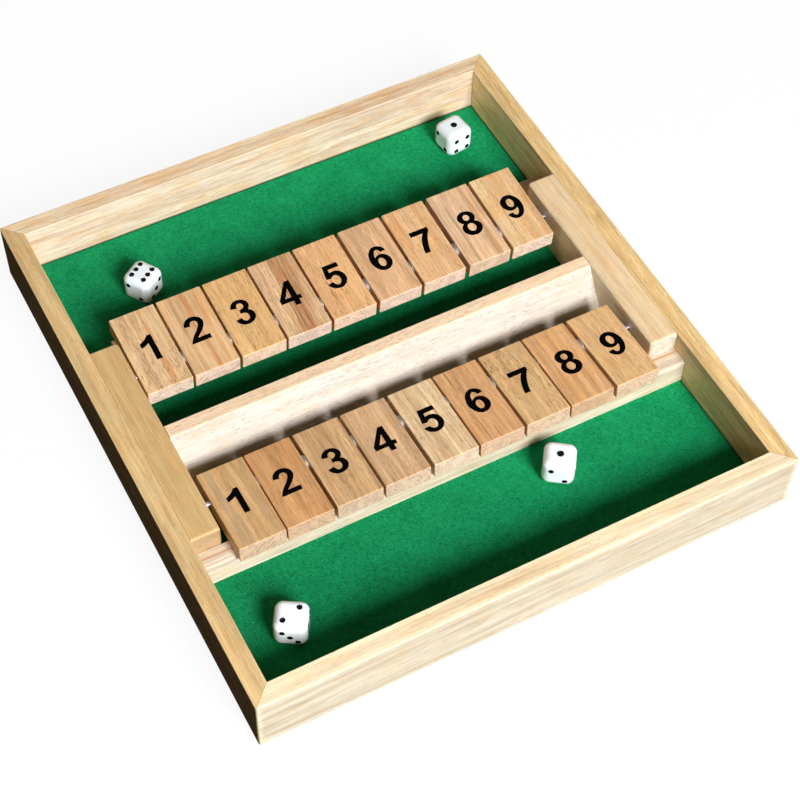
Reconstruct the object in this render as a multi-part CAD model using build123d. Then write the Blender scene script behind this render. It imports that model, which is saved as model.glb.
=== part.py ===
from build123d import *
import math
import os

# A two-player shut the box game: a shallow mitred tray lined with felt, two rows of nine
# flip tiles on steel rods, a ridge between the rows, and two dice in each throwing tray.
# Sizes are in millimetres. The origin is the centre of the underside, +X runs along the
# rows to the right, +Y runs to the far player and +Z is up.

# ---- The tray (its width follows from the rows of tiles) ----
box_depth = 320.0
box_height = 36.0
wall = 10.5
frame_edge_radius = 0.5
frame_corner_radius = 1.2

# ---- The floor ----
base_recess = 3.2
base_thickness = 4.0
base_lip = 4.0
groove_end_gap = 0.5
groove_side_gap = 0.1
felt_thickness = 1.0
felt_edge_gap = 0.2

# ---- Bearing blocks, step rails and ridge ----
block_width = 15.5
block_length = 126.5
block_shift = 1.0
block_below_rim = 0.2
block_edge_radius = 1.8
step_width = 10.0
step_height = 15.24
step_outer_radius = 1.5
step_inner_radius = 0.5
ridge_top_width = 7.3
ridge_height = 26.6
ridge_slope_deg = 32.5
ridge_edge_radius = 0.8
ridge_end_gap = 0.15
joint_gap = 0.1
rows_offset = -2.0

# ---- Rods and tiles ----
rod_diameter = 3.0
rod_offset = 43.4
rod_above_felt = 18.9
rod_socket_depth = 9.0
rod_end_gap = 0.3
rod_socket_clearance = 0.05
tile_count = 9
tile_length = 50.8
tile_width = 25.0
tile_thickness = 10.0
tile_inner_reach = 15.5
tile_edge_radius = 0.6
tile_bore_clearance = 0.10
rest_gap = 0.15
shut_gap = 0.3

# Loose tiles slide along their rod, so a row's side play is shared out unevenly.
# Each row lists ten shares of it, from the left block to the right block.
row_side_play = 18.0
near_gap_shares = (2.9, 0.65, 1.7, 1.3, 1.9, 1.05, 1.55, 0.9, 1.85, 4.2)
far_gap_shares = (1.6, 1.3, 1.3, 1.2, 1.35, 1.95, 1.6, 2.5, 1.7, 3.5)

# Thin washers on the rods fill the gaps between the tiles, as many as each gap holds.
washer_diameter = 9.0
washer_thickness = 0.5
washer_play = 0.05
washer_bore_clearance = 0.10

# ---- Countersunk screws, driven up through the base board ----
screw_length = 16.0
screw_shank_diameter = 3.0
screw_head_diameter = 6.0
screw_head_depth = 1.8
screw_point_length = 3.0
screw_hole_clearance = 0.05
screw_drive_width = 0.8
screw_drive_length = 3.4
screw_drive_depth = 1.0
pilot_extra_depth = 0.5
block_screw_offset = 24.0
ridge_screw_spacing = 90.0
step_screw_spacing = 95.0

# ---- Dice ----
die_edge = 16.8
die_round = 4.2
pip_offset = 3.75
six_column_reach = 4.2
pip_radius = 1.5
pip_depth = 0.7
ace_radius = 1.9
ace_depth = 0.85
die_rest_gap = 0.05

# Each die as thrown. Its place is a share of the way from the tray's middle to a side wall,
# and a share of the way from the tiles to an end wall; minus means to the left, or near.
dice_place_shares = {
    "die_far_left": (-0.713, 0.357),
    "die_far_right": (0.893, 0.760),
    "die_near_right": (0.395, -0.094),
    "die_near_left": (-0.876, -0.545),
}
# The heading of each die's local X axis, and the face that is up.
dice_heading_deg = {
    "die_far_left": 213.7,
    "die_far_right": 187.6,
    "die_near_right": 234.9,
    "die_near_left": 239.1,
}
dice_face_up = {
    "die_far_left": "six",
    "die_far_right": "one",
    "die_near_right": "one",
    "die_near_left": "two",
}

# ---- Sizes that follow from the ones above ----
row_span = tile_count * tile_width + row_side_play
inner_width = row_span + 2 * block_width
box_width = inner_width + 2 * wall
inner_depth = box_depth - 2 * wall
felt_bottom = base_recess + base_thickness
floor_z = felt_bottom + felt_thickness
rod_radius = rod_diameter / 2
rod_z = floor_z + rod_above_felt
step_reach = block_length / 2 + block_shift + joint_gap
step_top = floor_z + step_height
ridge_top = floor_z + ridge_height
ridge_slope = math.radians(ridge_slope_deg)
ridge_base_width = ridge_top_width + 2 * ridge_height * math.tan(ridge_slope)
tile_outer_reach = tile_length - tile_inner_reach
half_thickness = tile_thickness / 2
tip_reach = math.hypot(tile_outer_reach, half_thickness)


def rest_tilt():
    """Angle at which a tile lies with its outer end raised on the step rail.

    The underside is a line half a tile below the rod, and it touches the round inner
    edge of the step rail, so the rod, the edge's centre and that distance fix the angle.
    """
    across = step_reach + step_inner_radius - rod_offset
    down = rod_z - (step_top - step_inner_radius)
    reach = math.hypot(across, down)
    drop = half_thickness + step_inner_radius + rest_gap
    return math.asin(drop / reach) - math.atan2(down, across)


def shut_angle():
    """Turn from rest until the tip of a flipped tile meets the sloping face of the ridge.

    The tip corner is a fixed distance from the rod, and it meets the sloping plane where
    its distance from the plane falls to the gap.
    """
    to_plane = ((rod_offset - ridge_top_width / 2) * math.cos(ridge_slope)
                - (ridge_top - rod_z) * math.sin(ridge_slope))
    tip_corner = math.atan2(half_thickness, tile_outer_reach)
    above_level = tip_corner + math.acos((to_plane - shut_gap) / tip_reach) - ridge_slope
    return math.pi - rest_tilt() - above_level


def row_gaps(shares):
    """Width of each gap along a row, from the ten shares of the side play."""
    total = sum(shares)
    return [row_side_play * share / total for share in shares]


def tile_centres(shares):
    """Middle of each tile along its rod."""
    centres = []
    x = -row_span / 2
    for gap in row_gaps(shares)[:tile_count]:
        x += gap
        centres.append(x + tile_width / 2)
        x += tile_width
    return centres


def washer_centres(shares):
    """Middle of each washer: every inner gap is filled, and one lies right of the last tile."""
    gaps = row_gaps(shares)
    pitch = washer_thickness + washer_play
    centres = []
    for gap, tile_x in zip(gaps[1:], tile_centres(shares)):
        fitting = int(gap // pitch)
        spread = gap / fitting if fitting else 0
        if tile_x == tile_centres(shares)[-1]:
            fitting, spread = min(fitting, 1), pitch
        for i in range(fitting):
            centres.append(tile_x + tile_width / 2 + (i + 0.5) * spread)
    return centres


# ---- The mitred frame and the floor ----

def frame_rail(length):
    """One frame rail along X, with its outer face at Y = 0 and its mitres at both ends."""
    bar = Box(length, wall, box_height, align=(Align.CENTER, Align.MIN, Align.MIN))
    bar = fillet(bar.edges().filter_by(Axis.X), frame_edge_radius)
    groove_depth = base_lip + groove_end_gap
    groove = Pos(0, wall - groove_depth, base_recess - groove_side_gap) * Box(
        length, groove_depth, base_thickness + 2 * groove_side_gap,
        align=(Align.CENTER, Align.MIN, Align.MIN))
    mitred = Polygon(
        (-length / 2, 0), (length / 2, 0), (length / 2 - wall, wall),
        (-length / 2 + wall, wall), align=None)
    outline = Box(length, length, box_height, align=(Align.CENTER, Align.MIN, Align.MIN))
    outline = fillet(outline.edges().filter_by(Axis.Z), frame_corner_radius)
    return (bar - groove) & extrude(mitred, box_height) & outline


def block_screw_points():
    x = inner_width / 2 - block_width / 2
    return [(side * x, rows_offset - block_shift + end * block_screw_offset)
            for side in (-1, 1) for end in (-1, 1)]


def ridge_screw_points():
    return [(i * ridge_screw_spacing, rows_offset) for i in (-1, 0, 1)]


def step_screw_points():
    y = step_reach + step_width / 2
    return [(i * step_screw_spacing, rows_offset + row * y)
            for row in (-1, 1) for i in (-1, 0, 1)]


def screw():
    """Countersunk wood screw pointing up, with its head's flat face on Z = 0."""
    shank_radius = screw_shank_diameter / 2
    head = Cone(screw_head_diameter / 2, shank_radius, screw_head_depth,
                align=(Align.CENTER, Align.CENTER, Align.MIN))
    shank_length = screw_length - screw_head_depth - screw_point_length
    shank = Pos(0, 0, screw_head_depth) * Cylinder(
        shank_radius, shank_length, align=(Align.CENTER, Align.CENTER, Align.MIN))
    point = Pos(0, 0, screw_head_depth + shank_length) * Cone(
        shank_radius, shank_radius / 6, screw_point_length,
        align=(Align.CENTER, Align.CENTER, Align.MIN))
    slot = Box(screw_drive_length, screw_drive_width, screw_drive_depth,
               align=(Align.CENTER, Align.CENTER, Align.MIN))
    return (head + shank + point) - slot - Rot(0, 0, 90) * slot


def screw_cutter():
    """The hole that one screw needs, as a solid, with its mouth on Z = 0."""
    shank_radius = screw_shank_diameter / 2 + screw_hole_clearance
    sink = Cone(screw_head_diameter / 2 + screw_hole_clearance, shank_radius,
                screw_head_depth, align=(Align.CENTER, Align.CENTER, Align.MIN))
    hole = Cylinder(shank_radius, screw_length + pilot_extra_depth,
                    align=(Align.CENTER, Align.CENTER, Align.MIN))
    return sink + hole


def screws_at(points):
    return Compound(children=[Pos(x, y, base_recess) * screw() for x, y in points])


def drill(solid, points):
    """Cut the screw holes at the given points out of one wooden piece."""
    for x, y in points:
        solid = solid - Pos(x, y, base_recess) * screw_cutter()
    return solid


def all_screw_points():
    return block_screw_points() + ridge_screw_points() + step_screw_points()


def base_board():
    board = Pos(0, 0, base_recess) * Box(
        inner_width + 2 * base_lip, inner_depth + 2 * base_lip, base_thickness,
        align=(Align.CENTER, Align.CENTER, Align.MIN))
    return drill(board, all_screw_points())


def felt_lining():
    sheet = Pos(0, 0, felt_bottom) * Box(
        inner_width - 2 * felt_edge_gap, inner_depth - 2 * felt_edge_gap, felt_thickness,
        align=(Align.CENTER, Align.CENTER, Align.MIN))
    return drill(sheet, all_screw_points())


# ---- Wooden pieces on the felt ----

def rod_place(x, row):
    """A point on the rod of one row (-1 near, 1 far)."""
    return Pos(x, rows_offset + row * rod_offset, rod_z)


def bearing_block(side):
    """Block along one side wall (-1 left, 1 right) whose inner face holds the rod ends."""
    height = box_height - block_below_rim - floor_z
    block = Box(block_width - joint_gap, block_length, height,
                align=(Align.CENTER, Align.CENTER, Align.MIN))
    top_edges = block.edges().group_by(Axis.Z)[-1].sort_by(Axis.X)
    uprights = block.edges().filter_by(Axis.Z).sort_by(Axis.X)
    away_from_wall = (top_edges[:-1] + uprights[:2] if side > 0
                      else top_edges[1:] + uprights[2:])
    block = fillet(away_from_wall, block_edge_radius)
    centre_x = side * (inner_width / 2 - (block_width + joint_gap) / 2)
    block = Pos(centre_x, rows_offset - block_shift, floor_z) * block
    for row in (-1, 1):
        depth = rod_socket_depth
        mouth_x = side * row_span / 2
        socket = rod_place(mouth_x, row) * Rot(0, side * 90, 0) * Cylinder(
            rod_radius + rod_socket_clearance, depth,
            align=(Align.CENTER, Align.CENTER, Align.MIN))
        block = block - socket
    own_points = [p for p in block_screw_points() if p[0] * side > 0]
    return drill(block, own_points)


def step_rail(row):
    """Low rail (-1 near, 1 far) that the tiles' outer ends rest on.

    The near one runs from wall to wall, and the far one starts where the row does.
    """
    right_end = inner_width / 2 - joint_gap
    left_end = -right_end if row < 0 else -row_span / 2
    rail = Box(right_end - left_end, step_width, step_height,
               align=(Align.MIN, Align.MIN, Align.MIN))
    top_edges = rail.edges().filter_by(Axis.X).group_by(Axis.Z)[-1].sort_by(Axis.Y)
    rail = fillet(top_edges[1], step_outer_radius)
    inner_edge = rail.edges().filter_by(Axis.X).group_by(Axis.Z)[-1].sort_by(Axis.Y)[0]
    rail = fillet(inner_edge, step_inner_radius)
    if row < 0:
        rail = Pos(right_end, -step_reach, floor_z) * Rot(0, 0, 180) * rail
    else:
        rail = Pos(left_end, step_reach, floor_z) * rail
    own_points = [p for p in step_screw_points() if (p[1] - rows_offset) * row > 0]
    return drill(Pos(0, rows_offset, 0) * rail, own_points)


def centre_ridge():
    """The ridge between the rows, whose two sloping faces catch the shut tiles."""
    section = Polygon(
        (-ridge_base_width / 2, 0), (ridge_base_width / 2, 0),
        (ridge_top_width / 2, ridge_height), (-ridge_top_width / 2, ridge_height),
        align=None)
    length = row_span - 2 * ridge_end_gap
    body = extrude(Plane.YZ * section, length / 2, both=True)
    top_edges = body.edges().filter_by(Axis.X).group_by(Axis.Z)[-1]
    body = Pos(0, rows_offset, floor_z) * fillet(top_edges, ridge_edge_radius)
    return drill(body, ridge_screw_points())


# ---- Rods and tiles ----

def tile_rod(row):
    """Steel rod of one row, with both ends inside the blocks' blind sockets."""
    length = row_span + 2 * (rod_socket_depth - rod_end_gap)
    return rod_place(0, row) * Rot(0, 90, 0) * Cylinder(rod_radius, length)


def row_washers(row, shares):
    """All the washers of one row, standing upright on its rod."""
    ring = (Cylinder(washer_diameter / 2, washer_thickness)
            - Cylinder(rod_radius + washer_bore_clearance, washer_thickness))
    return Compound(children=[rod_place(x, row) * Rot(0, 90, 0) * ring
                              for x in washer_centres(shares)])


def tile():
    """One tile with its bore on the local X axis and its outer end towards +Y."""
    middle_y = (tile_outer_reach - tile_inner_reach) / 2
    blank = Pos(0, middle_y, 0) * Box(tile_width, tile_length, tile_thickness)
    blank = fillet(blank.edges(), tile_edge_radius)
    bore = Rot(0, 90, 0) * Cylinder(rod_radius + tile_bore_clearance, tile_width)
    return blank - bore


def tile_row(row, row_name, shares):
    """Name and solid of each tile of one row, resting on its step rail."""
    tilt = math.degrees(rest_tilt())
    facing = 180 if row < 0 else 0
    placed = []
    for number, x in enumerate(tile_centres(shares), start=1):
        place = rod_place(x, row) * Rot(0, 0, facing) * Rot(tilt, 0, 0)
        placed.append((f"{row_name}_tile_{number}", place * tile()))
    return placed


# ---- Dice ----

def pip_cutter(radius, depth):
    """Ball that cuts one shallow round pip into the face Z = 0 from above."""
    ball_radius = (radius ** 2 + depth ** 2) / (2 * depth)
    return Pos(0, 0, ball_radius - depth) * Sphere(ball_radius)


def pip_places(value):
    """Pip places on a face, in the face's own two directions."""
    s = pip_offset
    diagonal = [(-s, s), (s, -s)]
    corners = diagonal + [(-s, -s), (s, s)]
    layouts = {
        1: [(0, 0)],
        2: diagonal,
        3: diagonal + [(0, 0)],
        4: corners,
        5: corners + [(0, 0)],
        6: [(u * six_column_reach, side * s) for u in (-1, 0, 1) for side in (-1, 1)],
    }
    return layouts[value]


def die():
    """Cube whose opposite faces add up to seven: 6 is up, 2 faces +X and 3 faces +Y."""
    cube = fillet(Box(die_edge, die_edge, die_edge).edges(), die_round)
    reach = die_edge / 2
    faces = {
        6: Plane((0, 0, reach), x_dir=(1, 0, 0), z_dir=(0, 0, 1)),
        1: Plane((0, 0, -reach), x_dir=(1, 0, 0), z_dir=(0, 0, -1)),
        2: Plane((reach, 0, 0), x_dir=(0, 1, 0), z_dir=(1, 0, 0)),
        5: Plane((-reach, 0, 0), x_dir=(0, 1, 0), z_dir=(-1, 0, 0)),
        3: Plane((0, reach, 0), x_dir=(0, 0, 1), z_dir=(0, 1, 0)),
        4: Plane((0, -reach, 0), x_dir=(0, 0, 1), z_dir=(0, -1, 0)),
    }
    cutters = []
    for value, face in faces.items():
        size = (ace_radius, ace_depth) if value == 1 else (pip_radius, pip_depth)
        for u, v in pip_places(value):
            cutters.append(face * Pos(u, v, 0) * pip_cutter(*size))
    return cube - cutters


def die_centre(name):
    """Where a die lies in its tray, with room all round for its diagonal."""
    side_share, end_share = dice_place_shares[name]
    row = 1 if end_share > 0 else -1
    half_diagonal = die_edge / math.sqrt(2)
    x = side_share * (inner_width / 2 - half_diagonal)
    start = row * rows_offset + rod_offset + tip_reach + half_diagonal
    end = inner_depth / 2 - half_diagonal
    return x, row * (start + abs(end_share) * (end - start))


def placed_die(name):
    """A die on the felt, turned to its heading with the right face up."""
    x, y = die_centre(name)
    z = floor_z + die_rest_gap + die_edge / 2
    upturn = {
        "six": Rot(0, 0, 0),
        "one": Rot(180, 0, 0),
        "two": Location(Plane((0, 0, 0), x_dir=(0, 0, 1), z_dir=(0, 1, 0))),
    }
    heading = Rot(0, 0, dice_heading_deg[name])
    return Pos(x, y, z) * heading * upturn[dice_face_up[name]] * die()


# ---- Assembly ----

def build_parts():
    """Every sub-part by name, each in its place with all the tiles up."""
    near_rail = Pos(0, -box_depth / 2, 0) * frame_rail(box_width)
    left_rail = Pos(-box_width / 2, 0, 0) * Rot(0, 0, -90) * frame_rail(box_depth)
    parts = {
        "frame_rail_near": near_rail,
        "frame_rail_far": Rot(0, 0, 180) * near_rail,
        "frame_rail_left": left_rail,
        "frame_rail_right": Rot(0, 0, 180) * left_rail,
        "base_board": base_board(),
        "felt_lining": felt_lining(),
        "bearing_block_left": bearing_block(-1),
        "bearing_block_right": bearing_block(1),
        "step_rail_near": step_rail(-1),
        "step_rail_far": step_rail(1),
        "centre_ridge": centre_ridge(),
        "bearing_block_screws": screws_at(block_screw_points()),
        "step_rail_screws": screws_at(step_screw_points()),
        "centre_ridge_screws": screws_at(ridge_screw_points()),
        "tile_rod_near": tile_rod(-1),
        "tile_rod_far": tile_rod(1),
        "near_row_washers": row_washers(-1, near_gap_shares),
        "far_row_washers": row_washers(1, far_gap_shares),
    }
    parts.update(tile_row(-1, "near", near_gap_shares))
    parts.update(tile_row(1, "far", far_gap_shares))
    for name in dice_place_shares:
        parts[name] = placed_die(name)
    return parts


def main():
    os.makedirs("parts", exist_ok=True)
    parts = build_parts()
    for name, shape in parts.items():
        export_step(shape, f"parts/{name}.step")
    print(f"{len(parts)} sub-parts")
    print(f"box {box_width:.2f} x {box_depth:.2f} x {box_height:.2f}, felt top {floor_z:.2f}")
    print(f"rods at y = {rows_offset:.2f} +- {rod_offset:.2f}, z = {rod_z:.2f}")
    print(f"tiles rest {math.degrees(rest_tilt()):.3f} degrees up")
    print(f"tiles turn {math.degrees(shut_angle()):.3f} degrees to lie shut on the ridge")
    print("near tile centres", [round(x, 2) for x in tile_centres(near_gap_shares)])
    print("far tile centres", [round(x, 2) for x in tile_centres(far_gap_shares)])
    for name in dice_place_shares:
        print(name, "centre", [round(v, 2) for v in die_centre(name)])


main()
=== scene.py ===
# %% [markdown]
# # A shut the box game
# This lesson dresses a wooden dice game for rendering. The game is an open tray of mitred
# rails with a felt floor. Nine numbered tiles turn on a steel rod in front of each player,
# a sloping ridge stands between the two rows, and two dice lie in each throwing tray.
# The solid parts come ready made, in metres, in the frame that is loaded below. We give them
# wood, steel and plastic finishes, and add what is printed, painted or laid on them.

# %% Load the solid parts
import bpy
import math
import numpy as np
from mathutils import Matrix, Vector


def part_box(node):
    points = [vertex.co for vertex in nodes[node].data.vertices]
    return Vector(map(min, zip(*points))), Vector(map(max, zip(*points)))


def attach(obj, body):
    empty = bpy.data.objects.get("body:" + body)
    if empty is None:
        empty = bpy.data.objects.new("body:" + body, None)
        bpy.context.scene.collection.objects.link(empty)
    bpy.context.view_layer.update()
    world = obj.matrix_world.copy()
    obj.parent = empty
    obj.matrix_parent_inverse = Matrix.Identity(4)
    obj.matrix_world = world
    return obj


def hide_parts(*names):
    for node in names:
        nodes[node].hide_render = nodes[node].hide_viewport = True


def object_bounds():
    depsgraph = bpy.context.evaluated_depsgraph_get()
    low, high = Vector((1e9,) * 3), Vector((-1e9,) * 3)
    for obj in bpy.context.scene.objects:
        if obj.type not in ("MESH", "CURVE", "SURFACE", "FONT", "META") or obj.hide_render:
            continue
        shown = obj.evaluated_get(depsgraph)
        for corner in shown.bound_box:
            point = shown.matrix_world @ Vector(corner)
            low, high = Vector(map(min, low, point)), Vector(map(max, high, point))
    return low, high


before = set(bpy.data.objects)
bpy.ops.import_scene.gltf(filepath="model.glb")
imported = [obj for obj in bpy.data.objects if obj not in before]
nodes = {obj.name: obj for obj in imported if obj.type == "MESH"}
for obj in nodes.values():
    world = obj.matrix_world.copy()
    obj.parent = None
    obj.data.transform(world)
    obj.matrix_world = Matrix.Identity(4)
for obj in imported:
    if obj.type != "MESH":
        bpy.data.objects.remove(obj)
cad_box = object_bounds()
print(len(nodes), "solid parts, box", cad_box)

# %% [markdown]
# ## Sizes
# A few sizes of the solids are needed again, to lay the felt and to print on the tiles.
# They are read from the parts' own boxes where that is possible, and written here in
# millimetres where it isn't.

# %% Sizes shared by the steps below
MM = 0.001
tile_thickness = 10.0
tile_length = 50.8
tile_inner_reach = 15.5
rod_height = {name: sum(c[2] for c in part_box(name)) / 2 for name in ("tile_rod_near", "tile_rod_far")}
rod_line = {name: sum(c[1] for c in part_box(name)) / 2 for name in ("tile_rod_near", "tile_rod_far")}
print("rods at", rod_line, "height", rod_height)


def linear(code):
    """Linear colour of a screen colour such as "e0b080": the inverse of the screen's curve."""
    screen = np.array([int(code[i:i + 2], 16) for i in (0, 2, 4)]) / 255
    light = np.where(screen <= 0.04045, screen / 12.92, ((screen + 0.055) / 1.055) ** 2.4)
    return (*light.tolist(), 1.0)


print("mid grey is", [round(c, 3) for c in linear("808080")])

# %% [markdown]
# ## A short way to write materials
# A Blender material is a graph of nodes. Written out in full, each node takes several
# lines, so a small helper adds a node and fills its inputs in one call. An input can be a
# plain value or the output of another node.

# %% The material helper


class Finish:
    """One material and its node graph, ending in a Principled shader."""

    def __init__(self, name, **constants):
        self.material = bpy.data.materials.new(name)
        self.material.use_nodes = True
        self.tree = self.material.node_tree
        self.shader = self.tree.nodes["Principled BSDF"]
        self.set(self.shader, constants)

    def set(self, node, inputs):
        for key, value in inputs.items():
            socket = node.inputs[key if isinstance(key, int) else key.replace("_", " ")]
            if isinstance(value, bpy.types.NodeSocket):
                self.tree.links.new(value, socket)
            else:
                socket.default_value = value

    def node(self, kind, settings=None, inputs=None):
        node = self.tree.nodes.new("ShaderNode" + kind)
        for key, value in (settings or {}).items():
            setattr(node, key, value)
        self.set(node, inputs or {})
        return node

    def math(self, operation, *values):
        """One Math node; the values are numbers or sockets."""
        return self.node("Math", {"operation": operation}, dict(enumerate(values))).outputs[0]

    def place(self, unit, origin=(0, 0, 0), turn=(0, 0, 0)):
        """Object coordinates seen from an origin, turned back by an angle, and counted in
        units of the given lengths (in metres) along each axis."""
        coordinates = self.node("TexCoord").outputs["Object"]
        inputs = {"Vector": coordinates, "Location": origin, "Rotation": turn, "Scale": unit}
        return self.node("Mapping", {"vector_type": "TEXTURE"}, inputs).outputs[0]

    def noise(self, where, detail=2.0, roughness=0.5, distortion=0.0, size=1.0):
        """Cloudy noise from 0 to 1, with features about one unit of the coordinates wide."""
        inputs = {"Vector": where, "Scale": 1 / size, "Detail": detail,
                  "Roughness": roughness, "Distortion": distortion}
        return self.node("TexNoise", None, inputs).outputs["Fac"]

    def spread(self, value, low, high, to_low=0.0, to_high=1.0):
        """Value stretched so that low gives to_low and high gives to_high, and no further."""
        inputs = {"Value": value, "From Min": low, "From Max": high,
                  "To Min": to_low, "To Max": to_high}
        return self.node("MapRange", {"clamp": True}, inputs).outputs[0]

    def mix(self, amount, a, b, blend="MIX"):
        """Two colours mixed by an amount from 0 to 1."""
        settings = {"data_type": "RGBA", "blend_type": blend}
        return self.node("Mix", settings, {0: amount, 6: a, 7: b}).outputs[2]

    def bump(self, height, strength, distance):
        inputs = {"Height": height, "Strength": strength, "Distance": distance}
        normal = self.node("Bump", None, inputs).outputs[0]
        self.set(self.shader, {"Normal": normal})

    def facing(self, direction, low, high):
        """1 where the surface faces a direction of the object, 0 where it doesn't."""
        normal = self.node("TexCoord").outputs["Normal"]
        dot = self.node("VectorMath", {"operation": "DOT_PRODUCT"}, {0: normal, 1: direction})
        return self.spread(dot.outputs["Value"], low, high)

    def edge_distance(self, centre, half, turn):
        """Distance in metres from the nearest edge of a box, for a point on its surface.
        With a, b and c the distances to the nearest face along each axis, one of them is
        about 0 on the surface, so the distance to the edge is their median."""
        split = self.node("SeparateXYZ", None, {"Vector": self.place((1, 1, 1), centre, turn)})
        a, b, c = (self.math("SUBTRACT", size, self.math("ABSOLUTE", split.outputs[i]))
                   for i, size in enumerate(half))
        smaller, larger = self.math("MINIMUM", a, b), self.math("MAXIMUM", a, b)
        return self.math("MAXIMUM", smaller, self.math("MINIMUM", larger, c))


# %% [markdown]
# ## Wood
# Every wooden part is sawn from a pale hardwood and clear varnished. A board's figure comes
# from the log it was cut from: growth rings are cylinders round the log's heart, and the
# board's faces cut through them. So the recipe starts from the distance to a heart line
# beside the board, which draws long lines on the faces and arcs on the sawn ends, just as
# in real wood. Finer detail lies on top: fibres, short dark pores and warm patches, all
# stretched along the grain. A piece can also have stripes of paler or stained wood at places
# of its own, and darker sawn ends. One face can also carry painted light and shade: a tone
# that makes it paler or darker for how the lamps fall on it. The varnish is thinnest along
# the edges, which rub paler in use; where that pale band is wide, it is also a painted highlight.

# %% The wood recipe


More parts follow.
